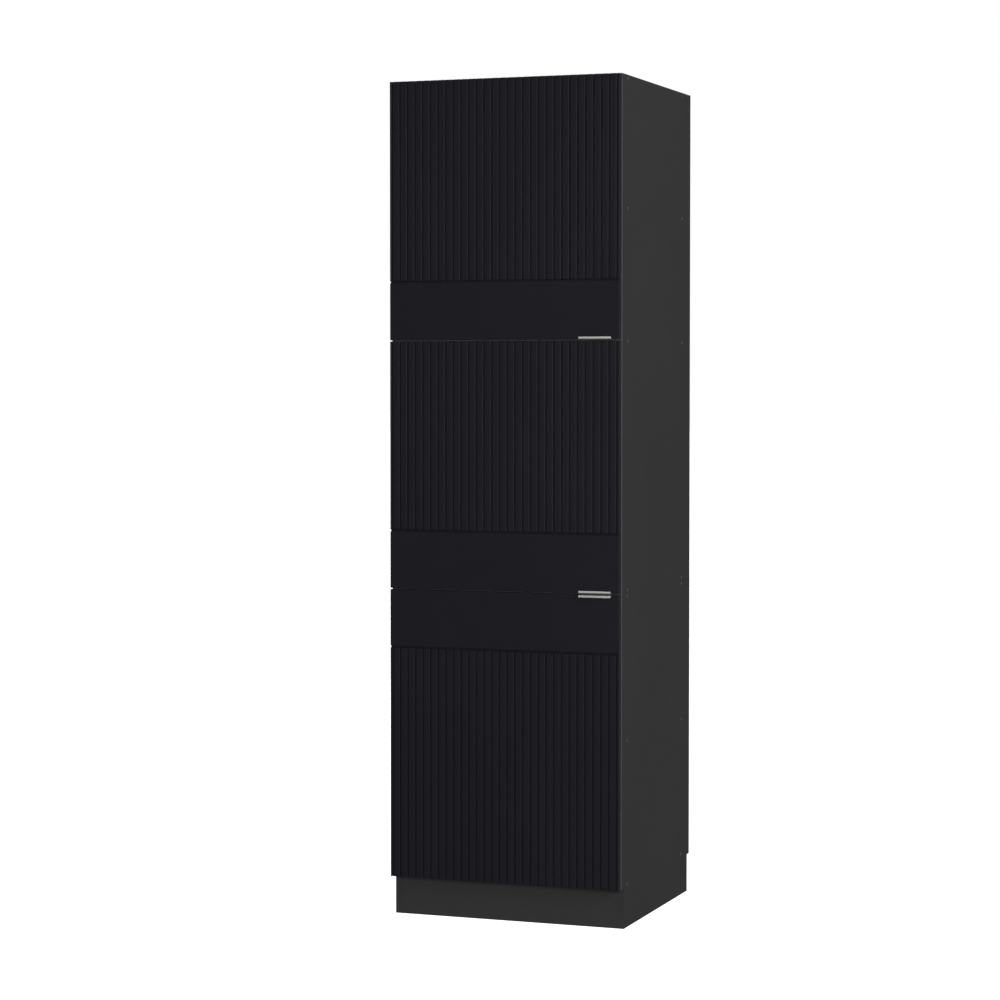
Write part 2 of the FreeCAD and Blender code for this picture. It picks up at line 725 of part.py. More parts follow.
def make_cup():
    """A shallow pressed cup with its screw flange, sunk in the door's back."""
    wall = dim("cup_wall")
    flange = dim("cup_flange")
    bowl = make_cylinder(dim("cup_radius"), dim("cup_depth") + flange)
    rim = make_cylinder(dim("cup_radius") + 2, flange, z=dim("cup_depth"))
    wings = make_box((size(2), size(-30), dim("cup_depth")),
                     (size(17), size(30), dim("cup_depth") + flange))
    hollow = make_cylinder(dim("cup_radius") - wall, dim("cup_depth") + flange, z=wall)
    half_spacing = dim("cup_screw_spacing") / 2
    holes = [make_cylinder(dim("small_shank_radius") + slack, size(4), dim("cup_depth") - 1,
                           dim("cup_screw_offset"), y) for y in (-half_spacing, half_spacing)]
    return cut(fuse(bowl, rim, wings), hollow, *holes)


def make_arm():
    """The hinge arm: a channel that clips on the mounting plate and ends in two ears at the pin."""
    nose = dim("nose_radius")
    body = new_body("hinge_arm_master")
    inside = -inner_x + dim("plate_rib")
    back = front_y + 62
    outline = sketch_at(body, "XY_Plane", -dim("arm_height") / 2)
    draw_outline(outline, [
        (inside, back), (inside + 10.5, back), (inside + 10.5, front_y + 18),
        (pin_x + nose, front_y + 12), (pin_x + nose, pin_y), (pin_x - nose, pin_y),
        (pin_x - nose, front_y + 5), (inside + 5.5, front_y + 12), (inside, front_y + 16),
    ])
    pad(body, outline, dim("arm_height"))
    tip = sketch_at(body, "XY_Plane", -dim("arm_height") / 2)
    draw_circles(tip, [(pin_x, pin_y)], nose)
    pad(body, tip, dim("arm_height"))
    gap = dim("arm_height") - dim("arm_wall") * 2
    slot = sketch_at(body, "XY_Plane", gap / 2)
    draw_rectangle(slot, (inside - 1, front_y + 19), (inside + 9, back + 1))
    draw_rectangle(slot, (pin_x - 4, pin_y - 3), (pin_x + 4, front_y + 2.5))
    pocket(body, slot, gap)
    drill(body, "XY_Plane", ZERO, [(pin_x, pin_y)], dim("pin_radius") + slack, None)
    return body


def make_plate():
    """The mounting plate: a rib under the arm and two wings screwed to the side panel."""
    rib = make_box((-inner_x, plate_y - 20, size(-7)), (-inner_x + dim("plate_rib"), plate_y + 27, size(7)))
    wings = make_box((-inner_x, plate_y - 8, size(-24)),
                     (-inner_x + dim("plate_sheet"), plate_y + 8, size(24)))
    holes = []
    for z in (-plate_screw_half, plate_screw_half):
        hole = make_cylinder(dim("plate_screw_radius") + slack, size(6))
        place(hole, -inner_x - 1, plate_y, z, TO_RIGHT)
        holes.append(hole)
    return cut(fuse(rib, wings), *holes)


def make_link():
    """The link: an eye on the arm's pin and a flat tongue that reaches into the cup."""
    height = dim("link_height")
    sheet_half = dim("link_sheet") / 2
    down = -height / 2
    eye = make_cylinder(dim("pin_radius") + 0.65, height, z=down)
    tongue = make_box((ZERO, -sheet_half, down), (dim("link_length") - sheet_half, sheet_half, height / 2))
    tip = make_cylinder(sheet_half, height, z=down, x=dim("link_length") - sheet_half)
    bore = make_cylinder(dim("pin_radius") + slack, height + 2, z=down - 1)
    return cut(fuse(eye, tongue, tip), bore)


cup = make_cup()
arm = make_arm()
plate = make_plate()
link = make_link()
hinge_pin = make_cylinder(dim("pin_radius"), dim("arm_height") + 0.6)
bumper = make_cylinder(dim("bumper_radius"), dim("bumper_height"))
link_turn = Rotation(Vector(0, 0, 1), dim("link_rest_angle").value)
pin_foot = -dim("arm_height") / 2 - 0.3
cup_screw_half = dim("cup_screw_spacing") / 2
cup_screw_y = door_back_y + dim("cup_flange")
bumper_x = inner_x + half_board - 1


def fit_hinges(door):
    """Both hinges of a door, each piece a node of two or four solids."""
    middles = hinge_levels[door]
    wing_screws = [(cup_x + dim("cup_screw_offset"), cup_screw_y, z + step)
                   for z in middles for step in (-cup_screw_half, cup_screw_half)]
    side_screws = [(-inner_x + dim("plate_sheet"), plate_y, z + step)
                   for z in middles for step in (-plate_screw_half, plate_screw_half)]
    centres = [(ZERO, ZERO, z) for z in middles]
    pivots = [(pin_x, pin_y, z) for z in middles]
    bores = [(cup_x, door_back_y - dim("cup_depth"), z) for z in middles]
    make_group(f"{door}_hinge_cups", (cup, bores, TO_REAR))
    make_group(f"{door}_cup_screws", (small_screw, wing_screws, TO_FRONT))
    make_group(f"{door}_hinge_arms", (arm, centres, UP))
    make_group(f"{door}_hinge_plates", (plate, centres, UP))
    make_group(f"{door}_plate_screws", (plate_screw, side_screws, TO_LEFT))
    make_group(f"{door}_hinge_pins", (hinge_pin, [(x, y, z + pin_foot) for x, y, z in pivots], UP))
    make_group(f"{door}_hinge_links", (link, pivots, link_turn))


def fit_door_trim(door):
    """The screws of a door's pull and its two bumpers."""
    low, high, _ = doors[door]
    screw_y = door_back_y + dim("pull_sheet")
    pull_screws = [(x, screw_y, pull_screw_z(door)) for x in pull_screw_x]
    dots = [(bumper_x, door_back_y, z) for z in (low + dim("bumper_end"), high - dim("bumper_end"))]
    make_group(f"{door}_handle_screws", (small_screw, pull_screws, TO_FRONT))
    make_group(f"{door}_door_bumpers", (bumper, dots, TO_REAR))


for door_name in doors:
    fit_hinges(door_name)
    fit_door_trim(door_name)


# ---------------------------------------------------------------- checks and files


def check_document():
    """Stops if a feature failed, a cut removed nothing, or a sub-part has no sound shape."""
    for piece in document.Objects:
        if {"Invalid", "Error"} & set(piece.State):
            raise RuntimeError(f"{piece.Name} ({piece.Label}) failed: {piece.State}")
        if piece.TypeId == "PartDesign::Pocket" and piece.BaseFeature is not None:
            if piece.Shape.Volume > piece.BaseFeature.Shape.Volume - 0.01:
                raise RuntimeError(f"{piece.Name} in {piece.getParentGeoFeatureGroup().Label} cuts nothing")
    for piece in parts:
        if piece.Shape.isNull() or not piece.Shape.isValid():
            raise RuntimeError(f"{piece.Label} has no sound shape")


document.recompute()
check_document()
os.makedirs("parts", exist_ok=True)
for piece in parts:
    piece.Shape.exportStep(f"parts/{piece.Label}.step")
print(f"{len(parts)} sub-parts written")
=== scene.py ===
"""Pantry cabinet: detailed pieces and finishes built round the cabinet's fixed frame."""

import json
import math

import bmesh
import bpy
from mathutils import Matrix, Vector


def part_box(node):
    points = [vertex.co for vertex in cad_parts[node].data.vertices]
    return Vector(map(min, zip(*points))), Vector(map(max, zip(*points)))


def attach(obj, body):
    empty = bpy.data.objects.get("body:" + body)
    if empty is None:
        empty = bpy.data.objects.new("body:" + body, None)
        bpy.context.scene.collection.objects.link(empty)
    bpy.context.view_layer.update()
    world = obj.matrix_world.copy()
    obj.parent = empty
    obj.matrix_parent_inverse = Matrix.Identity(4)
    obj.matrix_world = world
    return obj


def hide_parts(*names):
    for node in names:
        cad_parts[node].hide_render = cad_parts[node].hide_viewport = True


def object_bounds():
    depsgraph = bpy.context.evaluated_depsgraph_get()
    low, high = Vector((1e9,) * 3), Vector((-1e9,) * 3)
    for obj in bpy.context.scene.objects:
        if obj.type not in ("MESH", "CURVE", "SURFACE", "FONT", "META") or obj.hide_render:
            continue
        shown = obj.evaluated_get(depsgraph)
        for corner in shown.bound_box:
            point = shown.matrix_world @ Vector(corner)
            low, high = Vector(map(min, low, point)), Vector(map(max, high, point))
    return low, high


bl_info = {
    "name": "Pantry Cabinet",
    "version": (1, 0, 0),
    "blender": (4, 5, 0),
    "location": "View3D > Sidebar > Pantry",
    "description": "Tall pantry cabinet with fluted doors, edge pulls and concealed hinges",
    "category": "Add Mesh",
}

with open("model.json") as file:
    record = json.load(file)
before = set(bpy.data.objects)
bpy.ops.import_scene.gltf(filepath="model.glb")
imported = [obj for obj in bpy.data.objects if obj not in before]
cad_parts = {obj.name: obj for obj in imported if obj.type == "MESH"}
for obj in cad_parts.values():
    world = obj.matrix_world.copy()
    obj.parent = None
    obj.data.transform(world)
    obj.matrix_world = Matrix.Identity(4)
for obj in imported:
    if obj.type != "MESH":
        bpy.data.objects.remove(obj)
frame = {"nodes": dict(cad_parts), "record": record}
CAD_LOW, CAD_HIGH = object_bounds()
MM = 0.001
OVERRUN = 1 * MM  # how far a cutter reaches outside the board it cuts
SAME_PLACE = 0.001 * MM  # corners closer than this are one corner
NEARLY_FLAT = math.radians(0.6)  # faces that meet at less than this are one face
SHORTEST_EASED = 10 * MM  # shorter board edges stay sharp
PULL_REACH = 10 * MM  # the pulls' lips stand this far in front of the door faces
DOORS = ("top", "middle", "bottom")
UPRIGHT_BOARDS = ("lower_left_side", "lower_right_side", "upper_left_side", "upper_right_side")
LEVEL_BOARDS = (
    "lower_bottom_panel", "lower_shelf", "lower_top_panel", "upper_bottom_panel",
    "upper_middle_shelf", "upper_top_shelf", "upper_top_panel", "adjustable_shelf", "plinth_board",
)
BACK_BOARDS = ("lower_back_panel", "upper_back_panel")


# ------------------------------------------------------------------ sizes and colours a user may change


class PantrySizes(bpy.types.PropertyGroup):
    """Sizes of the cut lines, the easings and the pulls"""

    groove_width: bpy.props.FloatProperty(
        name="Groove width", description="Width of each upright line's floor", default=2 * MM,
        subtype="DISTANCE", unit="LENGTH")
    line_width: bpy.props.FloatProperty(
        name="Line width", description="Width of the level line's floor", default=4 * MM,
        subtype="DISTANCE", unit="LENGTH")
    groove_depth: bpy.props.FloatProperty(
        name="Groove depth", description="Depth of each upright line", default=3.5 * MM,
        subtype="DISTANCE", unit="LENGTH")
    line_depth: bpy.props.FloatProperty(
        name="Line depth", description="Depth of the level line", default=5 * MM,
        subtype="DISTANCE", unit="LENGTH")
    groove_margin: bpy.props.FloatProperty(
        name="Groove margin", description="Door edge to the first upright line",
        default=5.25 * MM, subtype="DISTANCE", unit="LENGTH")
    groove_count: bpy.props.IntProperty(
        name="Groove count", description="Upright lines on each door", default=30)
    band_height: bpy.props.FloatProperty(
        name="Band height", description="Door edge with the pull to the level line",
        default=143 * MM, subtype="DISTANCE", unit="LENGTH")
    front_easing: bpy.props.FloatProperty(
        name="Front easing", description="Rounding of the lacquered fronts' outer edges",
        default=1.0 * MM, subtype="DISTANCE", unit="LENGTH")
    groove_easing: bpy.props.FloatProperty(
        name="Groove easing", description="Rounding of the cut lines' edges",
        default=2.5 * MM, subtype="DISTANCE", unit="LENGTH")
    board_easing: bpy.props.FloatProperty(
        name="Board easing", description="Rounding of the carcass boards' banded edges",
        default=0.5 * MM, subtype="DISTANCE", unit="LENGTH")
    metal_easing: bpy.props.FloatProperty(
        name="Metal easing", description="Rounding of pressed steel edges",
        default=0.15 * MM, subtype="DISTANCE", unit="LENGTH")
    pull_bend: bpy.props.FloatProperty(
        name="Pull bend", description="Outer radius of the pulls' bends", default=1.9 * MM,
        subtype="DISTANCE", unit="LENGTH")


class PantryColours(bpy.types.PropertyGroup):
    """Base colours of the finishes"""

    front: bpy.props.FloatVectorProperty(
        name="Front", description="Blue-black lacquer of the doors", subtype="COLOR", size=3,
        default=(0.0094, 0.0087, 0.0130))
    carcass: bpy.props.FloatVectorProperty(
        name="Carcass", description="Black facing of the carcass boards", subtype="COLOR", size=3,
        default=(0.030, 0.030, 0.030))
    back: bpy.props.FloatVectorProperty(
        name="Back", description="Hardboard of the back panels", subtype="COLOR", size=3,
        default=(0.026, 0.025, 0.024))
    aluminium: bpy.props.FloatVectorProperty(
        name="Aluminium", description="Satin aluminium of the pulls", subtype="COLOR", size=3,
        default=(0.62, 0.62, 0.61))
    steel: bpy.props.FloatVectorProperty(
        name="Steel", description="Nickel-plated hinge steel", subtype="COLOR", size=3,
        default=(0.56, 0.55, 0.53))
    zinc: bpy.props.FloatVectorProperty(
        name="Zinc", description="Zinc plating of screws and brackets", subtype="COLOR", size=3,
        default=(0.48, 0.49, 0.51))
    dark_screw: bpy.props.FloatVectorProperty(
        name="Dark screw", description="Blackened joint screws", subtype="COLOR", size=3,
        default=(0.22, 0.22, 0.22))
    beech: bpy.props.FloatVectorProperty(
        name="Beech", description="Bare beech of the dowels", subtype="COLOR", size=3,
        default=(0.58, 0.40, 0.24))
    buffer: bpy.props.FloatVectorProperty(
        name="Buffer", description="Clear soft door buffers", subtype="COLOR", size=3,
        default=(0.70, 0.70, 0.68))
    floor: bpy.props.FloatVectorProperty(
        name="Floor", description="Pale studio floor", subtype="COLOR", size=3,
        default=(0.90, 0.90, 0.90))


# ------------------------------------------------------------------ node trees: wires with arithmetic


class Wire:
    """An output socket that arithmetic turns into Math nodes."""

    def __init__(self, tree, socket):
        self.tree = tree
        self.socket = socket

    def _math(self, operation, *others):
        node = self.tree.nodes.new("ShaderNodeMath")
        node.operation = operation
        for slot, value in zip(node.inputs, (self, *others)):
            feed(self.tree, slot, value)
        return Wire(self.tree, node.outputs[0])

    def __add__(self, other):
        return self._math("ADD", other)

    def __sub__(self, other):
        return self._math("SUBTRACT", other)

    def __mul__(self, other):
        return self._math("MULTIPLY", other)

    def __truediv__(self, other):
        return self._math("DIVIDE", other)

    def below(self, other):
        return self._math("LESS_THAN", other)


def feed(tree, slot, value):
    """Links a wire to an input, or sets a plain value on it."""
    if isinstance(value, Wire):
        tree.links.new(value.socket, slot)
    else:
        slot.default_value = value


def add(tree, kind, inputs=(), output=0, **settings):
    """Adds a node and gives a wire from one output, named or numbered.

    The inputs map a socket's name or number to a wire or value.
    """
    node = tree.nodes.new(kind)
    for key, value in settings.items():
        setattr(node, key, value)
    for key, value in dict(inputs).items():
        feed(tree, node.inputs[key], value)
    return Wire(tree, node.outputs[output])


def vector(tree, x, y, z):
    """One vector wire from three wires or numbers."""
    return add(tree, "ShaderNodeCombineXYZ", {"X": x, "Y": y, "Z": z})


SOCKET_KINDS = {
    float: "NodeSocketFloat", int: "NodeSocketInt", bpy.types.Material: "NodeSocketMaterial",
}


def new_shape_tree(name, inputs):
    """A geometry tree with named inputs; gives the tree and a wire for each input."""
    tree = bpy.data.node_groups.new(name, "GeometryNodeTree")
    tree.interface.new_socket("Points", in_out="INPUT", socket_type="NodeSocketGeometry")
    for label, kind in inputs.items():
        tree.interface.new_socket(label, in_out="INPUT", socket_type=SOCKET_KINDS[kind])
    tree.interface.new_socket("Mesh", in_out="OUTPUT", socket_type="NodeSocketGeometry")
    group_in = tree.nodes.new("NodeGroupInput")
    wires = {socket.name: Wire(tree, socket) for socket in group_in.outputs if socket.name}
    return tree, wires


def close_shape_tree(tree, shape, material):
    """Ends a tree in Realize Instances and Set Material."""
    solid = add(tree, "GeometryNodeRealizeInstances", {"Geometry": shape})
    painted = add(tree, "GeometryNodeSetMaterial", {"Geometry": solid, "Material": material})
    group_out = tree.nodes.new("NodeGroupOutput")
    tree.links.new(painted.socket, group_out.inputs["Mesh"])


def moved(tree, shape, offset=None, turn=None):
    """The shape, turned and then shifted."""
    inputs = {"Geometry": shape}
    if offset is not None:
        inputs["Translation"] = offset
    if turn is not None:
        inputs["Rotation"] = turn
    return add(tree, "GeometryNodeTransform", inputs)


def block(tree, size, centre):
    """A box of the given size round a centre."""
    return moved(tree, add(tree, "GeometryNodeMeshCube", {"Size": size}), centre)


def rod(tree, radius, length, sides, base, turn=(0.0, 0.0, 0.0)):
    """A cylinder that starts at base and runs along its turned local Z."""
    shape = add(tree, "GeometryNodeMeshCylinder",
                {"Vertices": sides, "Radius": radius, "Depth": length}, fill_type="NGON")
    lifted = moved(tree, shape, vector(tree, 0.0, 0.0, length * 0.5))
    return moved(tree, lifted, base, turn)


def joined(tree, *shapes):
    """Several shapes as one."""
    node = tree.nodes.new("GeometryNodeJoinGeometry")
    for shape in shapes:
        tree.links.new(shape.socket, node.inputs[0])
    return Wire(tree, node.outputs[0])


def carved(tree, base, tool):
    """The base with the tool's volume cut away."""
    return add(tree, "GeometryNodeMeshBoolean", {"Mesh 1": base, "Mesh 2": tool}, output="Mesh",
               operation="DIFFERENCE", solver="EXACT")


def set_tree_inputs(modifier, values):
    """Sets a modifier's inputs by the identifiers behind their names."""
    for item in modifier.node_group.interface.items_tree:
        if item.item_type == "SOCKET" and item.in_out == "INPUT" and item.name in values:
            modifier[item.identifier] = values[item.name]


# ------------------------------------------------------------------ pieces: making, easing, handing over


def new_object(name, mesh):
    """An object for a mesh, linked into the scene at the origin."""
    thing = bpy.data.objects.new(name, mesh)
    bpy.context.scene.collection.objects.link(thing)
    return thing


def applied(thing):
    """The same object with its modifiers turned into plain mesh."""
    bpy.context.view_layer.update()
    graph = bpy.context.evaluated_depsgraph_get()
    mesh = bpy.data.meshes.new_from_object(
        thing.evaluated_get(graph), preserve_all_data_layers=True, depsgraph=graph)
    thing.modifiers.clear()
    thing.data = mesh
    mesh.name = thing.name
    return thing


def ease_edges(thing, width, segments=2, shortest=0.0, above=40, behind=1.0, rim=1.0):
    """Rounds outward edges that are sharp and long enough.

    Those behind the front face, and those round the front face's rim, may be rounded less.
    """
    low, high = corners_of(thing)
    face_tolerance = 0.01 * MM
    front = low.y + face_tolerance
    shape = bmesh.new()
    shape.from_mesh(thing.data)
    weights = shape.edges.layers.float.new("bevel_weight_edge")
    for edge in shape.edges:
        sharp = len(edge.link_faces) == 2 and edge.is_convex
        if sharp and edge.calc_face_angle() > math.radians(above):
            if edge.calc_length() >= shortest:
                at_front = all(vert.co.y < front for vert in edge.verts)
                inside = any(deep_inside(vert.co, low, high) for vert in edge.verts)
                edge[weights] = (1.0 if inside else rim) if at_front else behind
    shape.to_mesh(thing.data)
    shape.free()
    modifier = thing.modifiers.new("Easing", "BEVEL")
    modifier.width = width
    modifier.segments = segments
    modifier.limit_method = "WEIGHT"
    applied(thing)
    for vert in thing.data.vertices:
        vert.co = [min(max(vert.co[k], low[k]), high[k]) for k in range(3)]
    return even_shading(thing)


def deep_inside(place, low, high, margin=3 * MM):
    """Whether a place on the front is well away from the front's outline."""
    return (low.x + margin < place.x < high.x - margin
            and low.z + margin < place.z < high.z - margin)


def corners_of(thing):
    """Lowest and highest corner of a mesh object."""
    places = [vert.co for vert in thing.data.vertices]
    low = Vector([min(place[k] for place in places) for k in range(3)])
    high = Vector([max(place[k] for place in places) for k in range(3)])
    return low, high


def even_shading(thing, crease=50):
    """Smooth shading across easings, sharp at real corners, and flat on flat faces."""
    mesh = thing.data
    mesh.polygons.foreach_set("use_smooth", [True] * len(mesh.polygons))
    mesh.set_sharp_from_angle(angle=math.radians(crease))
    modifier = thing.modifiers.new("Even shading", "WEIGHTED_NORMAL")
    modifier.keep_sharp = True
    modifier.weight = 100
    return applied(thing)


def hand_over(piece, body, slot, *nodes):
    """Puts a finished piece on its body and hides what it stands for; the slot is not used."""
    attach(piece, body)
    if nodes:
        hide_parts(*nodes)
    return piece


def merged_copy(node, name):
    """A copy of a frame node with shared corners and whole flat faces."""
    source = frame["nodes"][node]
    shape = bmesh.new()
    shape.from_mesh(source.data)
    bmesh.ops.remove_doubles(shape, verts=shape.verts, dist=SAME_PLACE)
    bmesh.ops.dissolve_limit(shape, angle_limit=NEARLY_FLAT, verts=shape.verts,
                             edges=shape.edges)
    mesh = bpy.data.meshes.new(name)
    shape.to_mesh(mesh)
    shape.free()
    return new_object(name, mesh)


def eased_copy(node, suffix, width, material, **easing):
    """A frame node's own shape with eased edges and a finish, handed over in its place."""
    piece = merged_copy(node, f"{node}_{suffix}")
    piece.data.materials.clear()
    piece.data.materials.append(material)
    ease_edges(piece, width, **easing)
    return hand_over(piece, body_of(node), slot_of(node), node)


def body_of(node):
    """The body that a frame node moves with."""
    for body, nodes in frame["record"]["behaviour"]["bodies"].items():
        if node in nodes:
            return body
    raise RuntimeError(f"{node} is in no body")


def slot_of(node):
    """The material slot that the record gives a frame node."""
    for entry in frame["record"]["subparts"]:
        if entry["node"] == node:
            return entry["material_slot"]
    raise RuntimeError(f"{node} has no material slot")


def solids_of(node):
    """Lowest and highest corner of each separate solid in a node, in a fixed order."""
    shape = bmesh.new()
    shape.from_mesh(frame["nodes"][node].data)
    bmesh.ops.remove_doubles(shape, verts=shape.verts, dist=SAME_PLACE)
    left = set(shape.verts)
    boxes = []
    while left:
        stack = [left.pop()]
        island = []
        while stack:
            vert = stack.pop()
            island.append(vert.co.copy())
            for edge in vert.link_edges:
                other = edge.other_vert(vert)
                if other in left:
                    left.remove(other)
                    stack.append(other)
        low = Vector([min(p[k] for p in island) for k in range(3)])
        high = Vector([max(p[k] for p in island) for k in range(3)])
        boxes.append((low, high))
    shape.free()
    return sorted(boxes, key=lambda box: tuple(round(v, 5) for v in (*box[0], *box[1])))


# ------------------------------------------------------------------ finishes


def new_material(name):
    """An empty material, its tree, and a wire with the place on the object."""
    material = bpy.data.materials.new(name)
    material.use_nodes = True
    tree = material.node_tree
    tree.nodes.clear()
    place = add(tree, "ShaderNodeTexCoord", output="Object")
    return material, tree, place


def close_material(tree, inputs):
    """Ends a material in one shader with the given inputs."""
    shader = add(tree, "ShaderNodeBsdfPrincipled", inputs)
    output = tree.nodes.new("ShaderNodeOutputMaterial")
    tree.links.new(shader.socket, output.inputs["Surface"])


def stretched(tree, place, scale):
    """The place, scaled along each axis, so that a pattern on it runs along the smallest scale."""
    return add(tree, "ShaderNodeMapping", {"Vector": place, "Scale": scale})


def noise(tree, place, scale, detail=3.0, roughness=0.5):
    return add(tree, "ShaderNodeTexNoise",
               {"Vector": place, "Scale": scale, "Detail": detail, "Roughness": roughness})


def spread(tree, value, low, high, start=0.3, end=0.7):
    """The value moved from between start and end to between low and high."""
    return add(tree, "ShaderNodeMapRange", {
        "Value": value, "From Min": start, "From Max": end, "To Min": low, "To Max": high})


def shaded(tree, colour, shade):
    """The colour times a shade, where 1 leaves it as it is."""
    grey = add(tree, "ShaderNodeCombineColor", {"Red": shade, "Green": shade, "Blue": shade})
    return add(tree, "ShaderNodeMix", {"Factor": 1.0, "A": (*colour, 1.0), "B": grey},
               output=2, data_type="RGBA", blend_type="MULTIPLY")


def tinted(tree, colour, value, low, high):
    """The colour, made darker and lighter as the value runs from low to high."""
    return shaded(tree, colour, spread(tree, value, low, high))


def bump(tree, height, depth, strength=1.0, under=None):
    """A normal from a height, on top of another normal if one is given."""
    inputs = {"Height": height, "Distance": depth, "Strength": strength}
    if under is not None:
        inputs["Normal"] = under
    return add(tree, "ShaderNodeBump", inputs)


def front_lacquer(colours):
    """Matt sprayed lacquer: a fine leathery skin over a very even blue-black."""
    material, tree, place = new_material("front_lacquer")
    cloud = noise(tree, place, scale=3.0, detail=4.0)
    skin = noise(tree, place, scale=900.0, detail=2.0)
    ripple = noise(tree, place, scale=160.0, detail=2.0)
    fine_skin = bump(tree, skin, depth=0.02 * MM, strength=0.5)
    normal = bump(tree, ripple, depth=0.03 * MM, strength=0.6, under=fine_skin)
    close_material(tree, {
        "Base Color": tinted(tree, colours.front, cloud, 0.94, 1.06),
        "Roughness": spread(tree, noise(tree, place, scale=22.0, detail=5.0), 0.42, 0.50),
        "Specular IOR Level": 0.09,
        "Normal": normal,
    })
    return material


def board_facing(colours, name, grain):
    """Melamine facing with short fine pores along the board, and a lighter band on front edges: partly
    the edge band's own tone, partly painted light for the door gaps.
    """
    material, tree, place = new_material(name)
    pores = noise(tree, stretched(tree, place, grain), scale=1.0, detail=3.0, roughness=0.6)
    speck = noise(tree, place, scale=1100.0, detail=1.0)
    cloud = noise(tree, place, scale=2.2, detail=4.0)
    depth = add(tree, "ShaderNodeSeparateXYZ", {"Vector": place}, output="Y")
    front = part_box("upper_right_side")[0].y
    band_thickness, glue_thickness = 1.0 * MM, 0.15 * MM
    # The band's lightening is partly the edge band's own tone and partly painted light standing in for
    # the light seen in the door gaps and on the side's front edge.
    lighter, smoother = 1.7, 0.12
    band = depth.below(front + band_thickness)
    glue_line = depth.below(front + band_thickness + glue_thickness) - band
    shade = spread(tree, pores, 0.90, 1.10) * (band * lighter + 1.0)
    specks = bump(tree, speck, depth=0.015 * MM, strength=0.4)
    normal = bump(tree, pores, depth=0.05 * MM, strength=0.45, under=specks)
    close_material(tree, {
        "Base Color": shaded(tree, colours.carcass, shade),
        "Roughness": spread(tree, cloud, 0.58, 0.68) - band * smoother,
        "Specular IOR Level": 0.14,
        "Normal": bump(tree, glue_line * -1.0, depth=0.06 * MM, under=normal),
    })
    return material


def hardboard(colours):
    """Painted hardboard: short fibres in every direction."""
    material, tree, place = new_material("hardboard")
    drawn_out = stretched(tree, place, (240.0, 240.0, 60.0))
    fibres = noise(tree, drawn_out, scale=1.0, detail=6.0, roughness=0.7)
    close_material(tree, {
        "Base Color": tinted(tree, colours.back, fibres, 0.85, 1.18),
        "Roughness": spread(tree, fibres, 0.55, 0.72),
        "Specular IOR Level": 0.3,
        "Normal": bump(tree, fibres, depth=0.08 * MM, strength=0.5),
    })
    return material


def brushed_metal(name, colour, direction, low, high, metallic=1.0):
    """Metal with fine lines along one direction, and softer and harder patches."""
    material, tree, place = new_material(name)
    lines = noise(tree, stretched(tree, place, direction), scale=1.0, detail=4.0, roughness=0.65)
    patches = noise(tree, place, scale=35.0, detail=3.0)
    close_material(tree, {
        "Base Color": tinted(tree, colour, lines, 0.93, 1.05),
        "Metallic": metallic,
        "Roughness": spread(tree, lines + patches * 0.4, low, high, 0.4, 0.9),
        "Normal": bump(tree, lines, depth=0.012 * MM, strength=0.5),
    })
    return material


def beech(colours):
    """Beech with long soft grain and short dark flecks."""
    material, tree, place = new_material("beech")
    drawn_out = stretched(tree, place, (30.0, 500.0, 500.0))
    grain = noise(tree, drawn_out, scale=1.0, detail=5.0, roughness=0.6)
    close_material(tree, {
        "Base Color": tinted(tree, colours.beech, grain, 0.72, 1.12),
        "Roughness": spread(tree, grain, 0.55, 0.75),
        "Normal": bump(tree, grain, depth=0.05 * MM, strength=0.6),
    })
    return material


def clear_rubber(colours):
    """Soft clear buffer, a little cloudy and dusty."""
    material, tree, place = new_material("clear_rubber")
    dust = noise(tree, place, scale=420.0, detail=3.0)
    close_material(tree, {
        "Base Color": tinted(tree, colours.buffer, dust, 0.9, 1.05),
        "Roughness": spread(tree, dust, 0.22, 0.42),
        "Transmission Weight": 0.55,
        "Subsurface Weight": 0.1,
    })
    return material


def studio_floor(colours):
    """Pale floor that glows softly, so it looks as white as the surroundings."""
    material, tree, place = new_material("studio_floor")
    speck = noise(tree, place, scale=60.0, detail=4.0)
    close_material(tree, {
        "Base Color": tinted(tree, colours.floor, speck, 0.995, 1.0),
        "Roughness": spread(tree, speck, 0.85, 0.95),
        "Specular IOR Level": 0.0,
        "Emission Color": (1.0, 1.0, 1.0, 1.0),
        "Emission Strength": 1.0,
    })
    return material


MAKERS = {
    "front_lacquer": front_lacquer,
    "upright_facing": lambda c: board_facing(c, "upright_facing", (900.0, 900.0, 45.0)),
    "level_facing": lambda c: board_facing(c, "level_facing", (45.0, 900.0, 900.0)),
    "hardboard": hardboard,
    "satin_aluminium": lambda c: brushed_metal(
        "satin_aluminium", c.aluminium, (60.0, 2600.0, 2600.0), 0.30, 0.46),
    "hinge_steel": lambda c: brushed_metal(
        "hinge_steel", c.steel, (900.0, 260.0, 900.0), 0.22, 0.36),
    "zinc": lambda c: brushed_metal("zinc", c.zinc, (700.0, 700.0, 700.0), 0.30, 0.48),
    "dark_screw": lambda c: brushed_metal(
        "dark_screw", c.dark_screw, (800.0, 800.0, 800.0), 0.34, 0.5, 0.7),
    "beech": beech,
    "clear_rubber": clear_rubber,
    "studio_floor": studio_floor,
}


def finish_for(name):
    """The named material, made the first time it is asked for."""
    found = bpy.data.materials.get(name)
    return found or MAKERS[name](bpy.context.scene.pantry_colours)


# ------------------------------------------------------------------ doors


